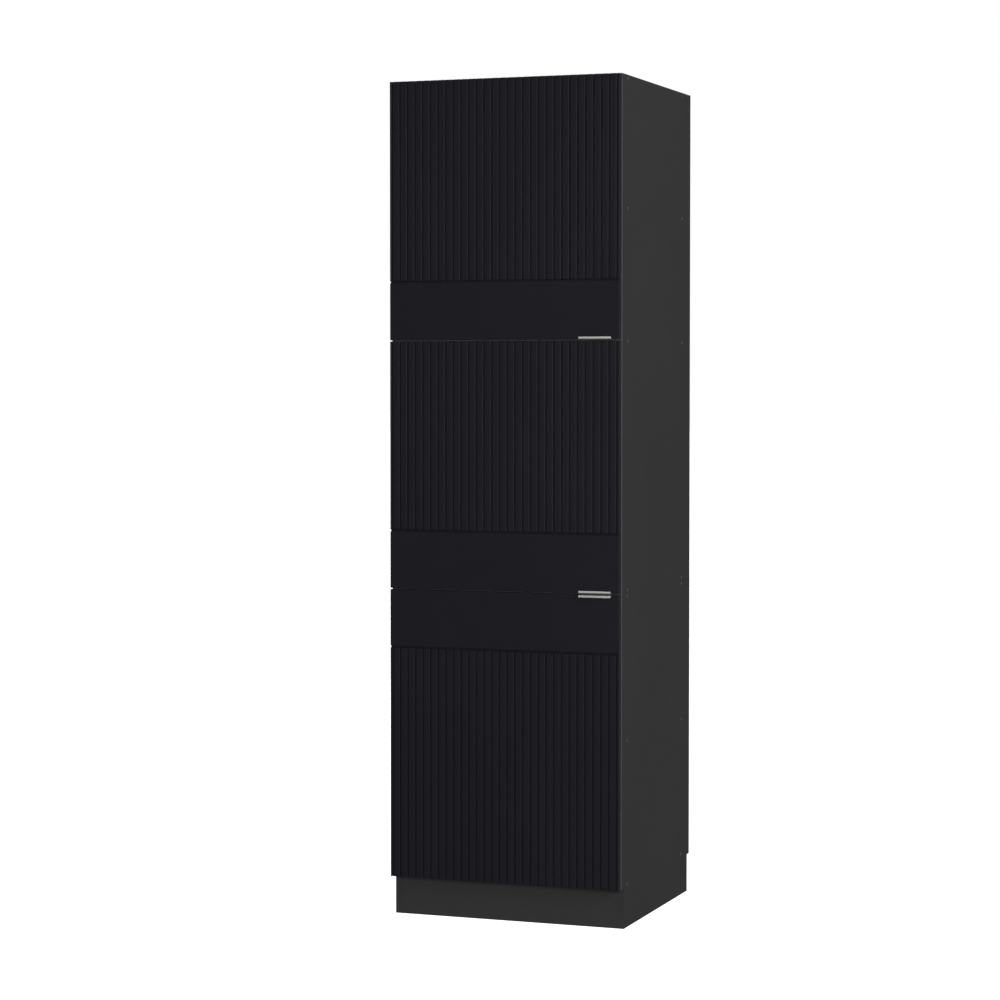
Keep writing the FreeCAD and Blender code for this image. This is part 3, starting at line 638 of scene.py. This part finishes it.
def fluted_door_tree():
    """A board cut with evenly spaced upright lines, one level line, a pull's seat and hinge bores.

    Local axes: X across from the door's middle, Y from its back (0) to its face, Z up from its foot.
    """
    tree, wires = new_shape_tree("Fluted door", {
        "Width": float, "Height": float, "Thickness": float,
        "Groove Width": float, "Groove Depth": float, "Groove Margin": float, "Groove Count": int,
        "Line Level": float, "Line Width": float, "Line Depth": float,
        "Flutes From": float, "Flutes To": float,
        "Seat Left": float, "Seat Right": float, "Seat From": float, "Seat To": float,
        "Bore Radius": float, "Bore Depth": float, "Bore Across": float,
        "Bore Low": float, "Bore High": float, "Facing": bpy.types.Material,
    })
    width, height, thick = wires["Width"], wires["Height"], wires["Thickness"]
    groove, depth = wires["Groove Width"], wires["Groove Depth"]
    face = thick * -1.0
    blank = block(tree, vector(tree, width, thick, height),
                  vector(tree, 0.0, face * 0.5, height * 0.5))

    low, high = wires["Flutes From"], wires["Flutes To"]
    cutter = add(tree, "GeometryNodeMeshCube",
                 {"Size": vector(tree, groove, depth * 2.0, high - low)})
    first = width * -0.5 + wires["Groove Margin"] + groove * 0.5
    pitch = (first * -2.0) / (wires["Groove Count"] - 1.0)
    row = add(tree, "GeometryNodeMeshLine", {
        "Count": wires["Groove Count"],
        "Start Location": vector(tree, first, face, (low + high) * 0.5),
        "Offset": vector(tree, pitch, 0.0, 0.0),
    }, mode="OFFSET", count_mode="TOTAL")
    cutters = add(tree, "GeometryNodeInstanceOnPoints", {"Points": row, "Instance": cutter})
    fluted = carved(tree, blank, add(tree, "GeometryNodeRealizeInstances", {"Geometry": cutters}))

    line = vector(tree, width + 2 * OVERRUN, wires["Line Depth"] * 2.0, wires["Line Width"])
    level = block(tree, line, vector(tree, 0.0, face, wires["Line Level"]))
    lined = carved(tree, fluted, level)

    left, right = wires["Seat Left"], wires["Seat Right"]
    start, end = wires["Seat From"], wires["Seat To"]
    seat = block(tree, vector(tree, right - left, thick + 4 * OVERRUN, end - start),
                 vector(tree, (left + right) * 0.5, face * 0.5, (start + end) * 0.5))
    quarter = (math.pi / 2, 0.0, 0.0)
    bore_sides = 96
    bores = [
        rod(tree, wires["Bore Radius"], wires["Bore Depth"] + OVERRUN, bore_sides,
            vector(tree, wires["Bore Across"], OVERRUN, wires[level_name]), quarter)
        for level_name in ("Bore Low", "Bore High")
    ]
    close_shape_tree(tree, carved(tree, lined, joined(tree, seat, *bores)), wires["Facing"])
    return tree


class PANTRY_OT_doors(bpy.types.Operator):
    """Make the three fluted door fronts"""

    bl_idname = "pantry.doors"
    bl_label = "Fluted doors"

    def execute(self, context):
        sizes = context.scene.pantry_sizes
        seat_depth = 2.2 * MM
        seat_room = 0.2 * MM
        cup_rim = 2 * MM
        bore_room = 0.05 * MM
        tree = fluted_door_tree()
        for door in DOORS:
            low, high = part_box(f"{door}_door_panel")
            pull_low, pull_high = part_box(f"{door}_handle")
            middle = (low.x + high.x) / 2
            height = high.z - low.z
            pull_at_foot = pull_low.z - low.z < high.z - pull_high.z
            line = sizes.band_height if pull_at_foot else height - sizes.band_height
            below, above = -2 * OVERRUN, height + 2 * OVERRUN
            flutes = (line, above) if pull_at_foot else (below, line)
            seat = (below, seat_depth) if pull_at_foot else (height - seat_depth, above)
            cups = solids_of(f"{door}_hinge_cups")
            levels = sorted((a.z + b.z) / 2 - low.z for a, b in cups)
            cup_low, cup_high = cups[0]
            piece = new_object(f"{door}_door_front", bpy.data.meshes.new(f"{door}_door_front"))
            modifier = piece.modifiers.new("Fluted door", "NODES")
            modifier.node_group = tree
            set_tree_inputs(modifier, {
                "Width": high.x - low.x, "Height": height, "Thickness": high.y - low.y,
                "Groove Width": sizes.groove_width, "Groove Depth": sizes.groove_depth,
                "Groove Margin": sizes.groove_margin, "Groove Count": sizes.groove_count,
                "Line Level": line, "Line Width": sizes.line_width,
                "Line Depth": sizes.line_depth, "Flutes From": flutes[0], "Flutes To": flutes[1],
                "Seat Left": pull_low.x - seat_room - middle,
                "Seat Right": pull_high.x + seat_room - middle,
                "Seat From": seat[0], "Seat To": seat[1],
                "Bore Radius": (cup_high.x - cup_low.x) / 2 - cup_rim + bore_room,
                "Bore Depth": high.y - cup_low.y + bore_room,
                "Bore Across": (cup_low.x + cup_high.x) / 2 - middle,
                "Bore Low": levels[0], "Bore High": levels[-1],
                "Facing": finish_for("front_lacquer"),
            })
            applied(piece)
            piece.data.transform(Matrix.Translation((middle, high.y, low.z)))
            less = sizes.front_easing / sizes.groove_easing
            ease_edges(piece, sizes.groove_easing, segments=3, behind=less, rim=less)
            hand_over(piece, f"{door}_door", "door_front", f"{door}_door_panel")
        return {"FINISHED"}


# ------------------------------------------------------------------ edge pulls


def bent_outline(path, thickness, radius, steps=6):
    """Closed outline of a strip of even thickness bent along a path of right-angled turns."""
    inner = max(radius - thickness, 0.0)
    middle = (radius + inner) / 2
    sides = ([], [])
    for k, point in enumerate(path):
        before = (point - path[k - 1]).normalized() if k else None
        after = (path[k + 1] - point).normalized() if k + 1 < len(path) else None
        if before is None or after is None:
            along = after if before is None else before
            normal = Vector((-along.y, along.x))
            sides[0].append(point + normal * thickness / 2)
            sides[1].append(point - normal * thickness / 2)
            continue
        turn = 1.0 if before.x * after.y - before.y * after.x > 0 else -1.0
        hub = point - before * middle + after * middle
        start = -after
        for step in range(steps + 1):
            angle = turn * math.pi / 2 * step / steps
            ray = Vector((start.x * math.cos(angle) - start.y * math.sin(angle),
                          start.x * math.sin(angle) + start.y * math.cos(angle)))
            near, far = hub + ray * inner, hub + ray * radius
            sides[0].append(near if turn > 0 else far)
            sides[1].append(far if turn > 0 else near)
    return sides[0] + sides[1][::-1]


def swept_across(name, outline, x_from, x_to, material):
    """A solid whose outline lies in Y and Z and runs across in X."""
    shape = bmesh.new()
    verts = [shape.verts.new((x_from, p.x, p.y)) for p in outline]
    cap = shape.faces.new(verts)
    grown = bmesh.ops.extrude_face_region(shape, geom=[cap])
    moved_verts = [g for g in grown["geom"] if isinstance(g, bmesh.types.BMVert)]
    bmesh.ops.translate(shape, vec=(x_to - x_from, 0, 0), verts=moved_verts)
    bmesh.ops.recalc_face_normals(shape, faces=shape.faces)
    mesh = bpy.data.meshes.new(name)
    shape.to_mesh(mesh)
    shape.free()
    mesh.materials.append(material)
    return new_object(name, mesh)


class PANTRY_OT_pulls(bpy.types.Operator):
    """Make the bent aluminium pulls on the doors' edges"""

    bl_idname = "pantry.pulls"
    bl_label = "Edge pulls"

    def execute(self, context):
        sizes = context.scene.pantry_sizes
        wall = 1.5 * MM
        lip = 5.8 * MM
        corner_easing = 0.25 * MM
        for door in DOORS:
            low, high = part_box(f"{door}_handle")
            door_low, door_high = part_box(f"{door}_door_panel")
            at_foot = low.z - door_low.z < door_high.z - high.z
            way = 1.0 if at_foot else -1.0
            web = low.z if at_foot else high.z
            far = high.z if at_foot else low.z
            half = wall / 2
            path = [
                Vector((high.y - half, far)), Vector((high.y - half, web + way * half)),
                Vector((low.y + half, web + way * half)),
                Vector((low.y + half, web + way * lip)),
            ]
            outline = bent_outline(path, wall, sizes.pull_bend)
            piece = swept_across(f"{door}_pull", outline, low.x, high.x,
                                 finish_for("satin_aluminium"))
            ease_edges(piece, corner_easing, above=50)
            hand_over(piece, f"{door}_door", "satin_aluminium", f"{door}_handle")
        return {"FINISHED"}


# ------------------------------------------------------------------ carcass boards


class PANTRY_OT_boards(bpy.types.Operator):
    """Make the carcass boards with banded, softly eased edges"""

    bl_idname = "pantry.boards"
    bl_label = "Carcass boards"

    def execute(self, context):
        easing = context.scene.pantry_sizes.board_easing
        for nodes, facing in ((UPRIGHT_BOARDS, "upright_facing"), (LEVEL_BOARDS, "level_facing")):
            for node in nodes:
                eased_copy(node, "board", easing, finish_for(facing), segments=3,
                           shortest=SHORTEST_EASED)
        return {"FINISHED"}


class PANTRY_OT_backs(bpy.types.Operator):
    """Make the thin back panels"""

    bl_idname = "pantry.backs"
    bl_label = "Back panels"

    def execute(self, context):
        easing = 0.2 * MM
        for node in BACK_BOARDS:
            eased_copy(node, "sheet", easing, finish_for("hardboard"), shortest=SHORTEST_EASED)
        return {"FINISHED"}


# ------------------------------------------------------------------ screws


def screw_tree():
    """A screw on every point: a drum head with a hexagon socket, and a threaded shank.

    The attribute 'way' on the points is the direction from head to tip.
    """
    tree, wires = new_shape_tree("Screws", {
        "Head Radius": float, "Head Height": float, "Shank Radius": float, "Shank Length": float,
        "Socket Radius": float, "Thread Pitch": float, "Metal": bpy.types.Material,
    })
    head_r, head_h = wires["Head Radius"], wires["Head Height"]
    shank_r, shank_l = wires["Shank Radius"], wires["Shank Length"]
    head_sides, socket_sides, core_sides, steps_per_turn = 28, 6, 20, 16
    core_share, ridge_share = 0.84, 0.15
    threaded_share, plain_share = 0.86, 0.1
    socket_start = -1.45
    drum = rod(tree, head_r, head_h, head_sides, vector(tree, 0.0, 0.0, head_h * -1.0))
    socket = rod(tree, wires["Socket Radius"], head_h, socket_sides,
                 vector(tree, 0.0, 0.0, head_h * socket_start))
    head = carved(tree, drum, socket)
    core_r = shank_r * core_share
    core = rod(tree, core_r, shank_l, core_sides, vector(tree, 0.0, 0.0, 0.0))
    threaded = shank_l * threaded_share
    helix = add(tree, "GeometryNodeCurveSpiral", {
        "Resolution": steps_per_turn, "Rotations": threaded / wires["Thread Pitch"],
        "Start Radius": core_r, "End Radius": core_r, "Height": threaded})
    ridge = add(tree, "GeometryNodeCurvePrimitiveCircle",
                {"Resolution": 4, "Radius": shank_r * ridge_share}, mode="RADIUS")
    thread = add(tree, "GeometryNodeCurveToMesh",
                 {"Curve": helix, "Profile Curve": ridge, "Fill Caps": True})
    thread_at = moved(tree, thread, vector(tree, 0.0, 0.0, shank_l * plain_share))
    screw = joined(tree, head, core, thread_at)
    way = add(tree, "GeometryNodeInputNamedAttribute", {"Name": "way"}, data_type="FLOAT_VECTOR")
    turn = add(tree, "FunctionNodeAlignRotationToVector", {"Vector": way}, axis="Z")
    screws = add(tree, "GeometryNodeInstanceOnPoints",
                 {"Points": wires["Points"], "Instance": screw, "Rotation": turn})
    close_shape_tree(tree, screws, wires["Metal"])
    return tree


def loose_points(name, places):
    """A mesh of points without edges or faces, for a tree to put its shape on."""
    mesh = bpy.data.meshes.new(name)
    mesh.from_pydata(places, [], [])
    return new_object(name, mesh)


def screw_seats(node, way_of, head_height):
    """Underside of each head and the way its shank goes, from the frame's solids."""
    seats = []
    for low, high in solids_of(node):
        way = Vector(way_of(low, high))
        middle = (low + high) / 2
        axis = max(range(3), key=lambda k: abs(way[k]))
        middle[axis] = (low if way[axis] > 0 else high)[axis] + way[axis] * head_height
        seats.append((middle, way))
    return seats


TO_LEFT, TO_RIGHT, TO_FRONT, UP, DOWN = (-1, 0, 0), (1, 0, 0), (0, -1, 0), (0, 0, 1), (0, 0, -1)


def inwards(low, high):
    """From the nearer side of the cabinet to its middle."""
    return TO_RIGHT if low.x + high.x < 0 else TO_LEFT


def always(way):
    """The same way for every screw of a set."""
    return lambda low, high: way


class PANTRY_OT_screws(bpy.types.Operator):
    """Make every screw and bolt, each set as one piece"""

    bl_idname = "pantry.screws"
    bl_label = "Screws and bolts"

    def execute(self, context):
        tree = screw_tree()
        joint = {"Head Radius": 4 * MM, "Head Height": 4 * MM, "Shank Radius": 2.6 * MM,
                 "Shank Length": 45.5 * MM, "Socket Radius": 2.3 * MM, "Thread Pitch": 3 * MM}
        small = {"Head Radius": 3 * MM, "Head Height": 1.5 * MM, "Shank Radius": 1.5 * MM,
                 "Shank Length": 9 * MM, "Socket Radius": 1.5 * MM, "Thread Pitch": 1.4 * MM}
        plate = {"Head Radius": 4 * MM, "Head Height": 2 * MM, "Shank Radius": 2.5 * MM,
                 "Shank Length": 14 * MM, "Socket Radius": 2.0 * MM, "Thread Pitch": 2 * MM}
        bolt = {"Head Radius": 7 * MM, "Head Height": 2 * MM, "Shank Radius": 3 * MM,
                "Shank Length": 24 * MM, "Socket Radius": 2.6 * MM, "Thread Pitch": 1 * MM}
        sets = [
            ("lower_joint_screws", joint, inwards, "dark_screw"),
            ("upper_joint_screws", joint, inwards, "dark_screw"),
            ("back_panel_screws", small, always(TO_FRONT), "zinc"),
            ("wall_bracket_screws", small, always(UP), "zinc"),
            ("module_bolts", bolt, always(DOWN), "zinc"),
        ]
        for door in DOORS:
            sets += [
                (f"{door}_cup_screws", small, always(TO_FRONT), "hinge_steel"),
                (f"{door}_handle_screws", small, always(TO_FRONT), "hinge_steel"),
                (f"{door}_plate_screws", plate, always(TO_LEFT), "hinge_steel"),
            ]
        for node, size, way_of, metal in sets:
            seats = screw_seats(node, way_of, size["Head Height"])
            piece = loose_points(f"{node}_turned", [place for place, way in seats])
            ways = piece.data.attributes.new("way", "FLOAT_VECTOR", "POINT")
            ways.data.foreach_set("vector", [value for place, way in seats for value in way])
            modifier = piece.modifiers.new("Screws", "NODES")
            modifier.node_group = tree
            set_tree_inputs(modifier, {**size, "Metal": finish_for(metal)})
            applied(piece)
            even_shading(piece, crease=35)
            hand_over(piece, body_of(node), slot_of(node), node)
        return {"FINISHED"}


# ------------------------------------------------------------------ hinges and other fittings


class PANTRY_OT_hinges(bpy.types.Operator):
    """Make the cups, arms, plates, links and pins of the concealed hinges"""

    bl_idname = "pantry.hinges"
    bl_label = "Concealed hinges"

    def execute(self, context):
        easing = context.scene.pantry_sizes.metal_easing
        for door in DOORS:
            for part in ("hinge_cups", "hinge_arms", "hinge_plates", "hinge_links", "hinge_pins"):
                eased_copy(f"{door}_{part}", "pressed", easing, finish_for("hinge_steel"))
        return {"FINISHED"}


class PANTRY_OT_fittings(bpy.types.Operator):
    """Make the shelf pins, sleeve nuts, wall brackets and door buffers"""

    bl_idname = "pantry.fittings"
    bl_label = "Pins, nuts, brackets and buffers"

    def execute(self, context):
        sheet_easing = context.scene.pantry_sizes.metal_easing * 2
        pin_easing, nut_easing, dome_easing = 0.3 * MM, 0.2 * MM, 0.6 * MM
        eased_copy("shelf_pins", "turned", pin_easing, finish_for("zinc"))
        eased_copy("module_sleeve_nuts", "turned", nut_easing, finish_for("zinc"))
        eased_copy("wall_brackets", "pressed", sheet_easing, finish_for("zinc"))
        for door in DOORS:
            eased_copy(f"{door}_door_bumpers", "dome", dome_easing, finish_for("clear_rubber"),
                       segments=4)
        return {"FINISHED"}


def dowel_tree():
    """A dowel on every point, with shallow flutes along it and chamfered ends, lying along X."""
    tree, wires = new_shape_tree("Fluted dowels", {
        "Radius": float, "Length": float, "Flutes": int, "Wood": bpy.types.Material,
    })
    radius, length = wires["Radius"], wires["Length"]
    valley_share, end_share, chamfer_share, rings = 0.94, 0.82, 0.05, 24
    star = add(tree, "GeometryNodeCurveStar", {
        "Points": wires["Flutes"], "Inner Radius": radius * valley_share, "Outer Radius": radius})
    half = length * 0.5
    path = add(tree, "GeometryNodeCurvePrimitiveLine", {
        "Start": vector(tree, half * -1.0, 0.0, 0.0), "End": vector(tree, half, 0.0, 0.0)})
    fine = add(tree, "GeometryNodeResampleCurve", {"Curve": path, "Count": rings})
    along = add(tree, "GeometryNodeSplineParameter", output="Factor")
    from_end = add(tree, "ShaderNodeMath", {0: along, 1: along * -1.0 + 1.0}, operation="MINIMUM")
    taper = add(tree, "ShaderNodeMapRange", {
        "Value": from_end, "From Min": 0.0, "From Max": chamfer_share,
        "To Min": end_share, "To Max": 1.0})
    shaped = add(tree, "GeometryNodeSetCurveRadius", {"Curve": fine, "Radius": taper})
    body = add(tree, "GeometryNodeCurveToMesh",
               {"Curve": shaped, "Profile Curve": star, "Fill Caps": True, "Scale": taper})
    dowels = add(tree, "GeometryNodeInstanceOnPoints",
                 {"Points": wires["Points"], "Instance": body})
    close_shape_tree(tree, dowels, wires["Wood"])
    return tree


class PANTRY_OT_dowels(bpy.types.Operator):
    """Make the fluted beech dowels inside the panel joints"""

    bl_idname = "pantry.dowels"
    bl_label = "Dowels"

    def execute(self, context):
        solids = solids_of("panel_dowels")
        low, high = solids[0]
        piece = loose_points("panel_dowels_fluted", [(a + b) / 2 for a, b in solids])
        modifier = piece.modifiers.new("Dowels", "NODES")
        modifier.node_group = dowel_tree()
        set_tree_inputs(modifier, {
            "Radius": (high.z - low.z) / 2, "Length": high.x - low.x, "Flutes": 18,
            "Wood": finish_for("beech"),
        })
        applied(piece)
        even_shading(piece)
        hand_over(piece, "carcass", "beech_dowel", "panel_dowels")
        return {"FINISHED"}


# ------------------------------------------------------------------ stage


CAMERA_PLACE = (2.3532, CAD_LOW.y + PULL_REACH - 6.3615, 1.3418)
CAMERA_TURN = (math.radians(90 - 1.9058), 0.0, math.radians(20.3603))
CAMERA_LENS = 99.879
CAMERA_SHIFT = -0.030
SURROUND = 0.30  # light from all round, as a share of the white that the camera sees
# name, degrees round to the right of the front, distance, height, aimed height, size, power
LIGHTS = (
    ("front", 20, 5.5, 1.35, 1.1, (3.5, 1.4), 146.0),
    ("key", 66, 5.0, 2.9, 1.2, (2.2, 2.4), 106.0),
    ("fill", -50, 5.0, 1.6, 1.1, (3.0, 2.4), 12.0),
    ("rear", 200, 5.0, 2.2, 1.1, (3.0, 3.0), 40.0),
)


def softbox(name, around, distance, height, aim, size, power):
    """A rectangular soft light on a circle round the cabinet, aimed at its middle line."""
    light = bpy.data.lights.new(name, "AREA")
    light.shape = "RECTANGLE"
    light.size, light.size_y = size
    light.energy = power
    thing = bpy.data.objects.new(name, light)
    bpy.context.scene.collection.objects.link(thing)
    turn = math.radians(around)
    thing.location = (distance * math.sin(turn), -distance * math.cos(turn), height)
    thing.rotation_euler = (Vector((0, 0, aim)) - thing.location).to_track_quat("-Z", "Y").to_euler()


def studio_world():
    """White surroundings that light the cabinet only softly, so the black boards stay black."""
    world = bpy.data.worlds.new("studio")
    bpy.context.scene.world = world
    world.use_nodes = True
    tree = world.node_tree
    tree.nodes.clear()
    seen = add(tree, "ShaderNodeLightPath", output="Is Camera Ray")
    strength = seen * (1.0 - SURROUND) + SURROUND
    sky = add(tree, "ShaderNodeBackground", {"Color": (1.0, 1.0, 1.0, 1.0), "Strength": strength})
    output = tree.nodes.new("ShaderNodeOutputWorld")
    tree.links.new(sky.socket, output.inputs["Surface"])


class PANTRY_OT_stage(bpy.types.Operator):
    """Make the floor, the studio light and the camera"""

    bl_idname = "pantry.stage"
    bl_label = "Stage"

    def execute(self, context):
        mesh = bpy.data.meshes.new("floor")
        reach, level = 60.0, -0.5 * MM
        mesh.from_pydata([(-reach, -reach, level), (reach, -reach, level), (reach, reach, level),
                          (-reach, reach, level)], [], [(0, 1, 2, 3)])
        mesh.materials.append(finish_for("studio_floor"))
        floor = new_object("floor", mesh)
        floor.visible_glossy = False
        floor.visible_diffuse = False
        studio_world()
        for light in LIGHTS:
            softbox(*light)
        camera = bpy.data.cameras.new("camera")
        camera.lens = CAMERA_LENS
        camera.shift_y = CAMERA_SHIFT
        camera.sensor_width = 36
        camera.clip_start, camera.clip_end = 0.05, 300.0
        eye = bpy.data.objects.new("camera", camera)
        context.scene.collection.objects.link(eye)
        eye.location = CAMERA_PLACE
        eye.rotation_euler = CAMERA_TURN
        context.scene.camera = eye
        context.scene.view_settings.view_transform = "Standard"
        return {"FINISHED"}


# ------------------------------------------------------------------ panel, registration, run

STEPS = ("doors", "pulls", "boards", "backs", "screws", "hinges", "fittings", "dowels", "stage")


class PANTRY_PT_panel(bpy.types.Panel):
    """Sidebar panel with the sizes, the colours and a button for each step"""

    bl_idname = "PANTRY_PT_panel"
    bl_label = "Pantry cabinet"
    bl_space_type = "VIEW_3D"
    bl_region_type = "UI"
    bl_category = "Pantry"

    def draw(self, context):
        for settings in (context.scene.pantry_sizes, context.scene.pantry_colours):
            for name in settings.__annotations__:
                self.layout.prop(settings, name)
        for step in STEPS:
            self.layout.operator(f"pantry.{step}")


CLASSES = (
    PantrySizes, PantryColours, PANTRY_OT_doors, PANTRY_OT_pulls, PANTRY_OT_boards,
    PANTRY_OT_backs, PANTRY_OT_screws, PANTRY_OT_hinges, PANTRY_OT_fittings, PANTRY_OT_dowels,
    PANTRY_OT_stage, PANTRY_PT_panel,
)


def register():
    for kind in CLASSES:
        bpy.utils.register_class(kind)
    bpy.types.Scene.pantry_sizes = bpy.props.PointerProperty(type=PantrySizes)
    bpy.types.Scene.pantry_colours = bpy.props.PointerProperty(type=PantryColours)


def unregister():
    del bpy.types.Scene.pantry_colours
    del bpy.types.Scene.pantry_sizes
    for kind in reversed(CLASSES):
        bpy.utils.unregister_class(kind)


def main():
    register()
    for step in STEPS:
        getattr(bpy.ops.pantry, step)()


if __name__ == "__main__":
    main()
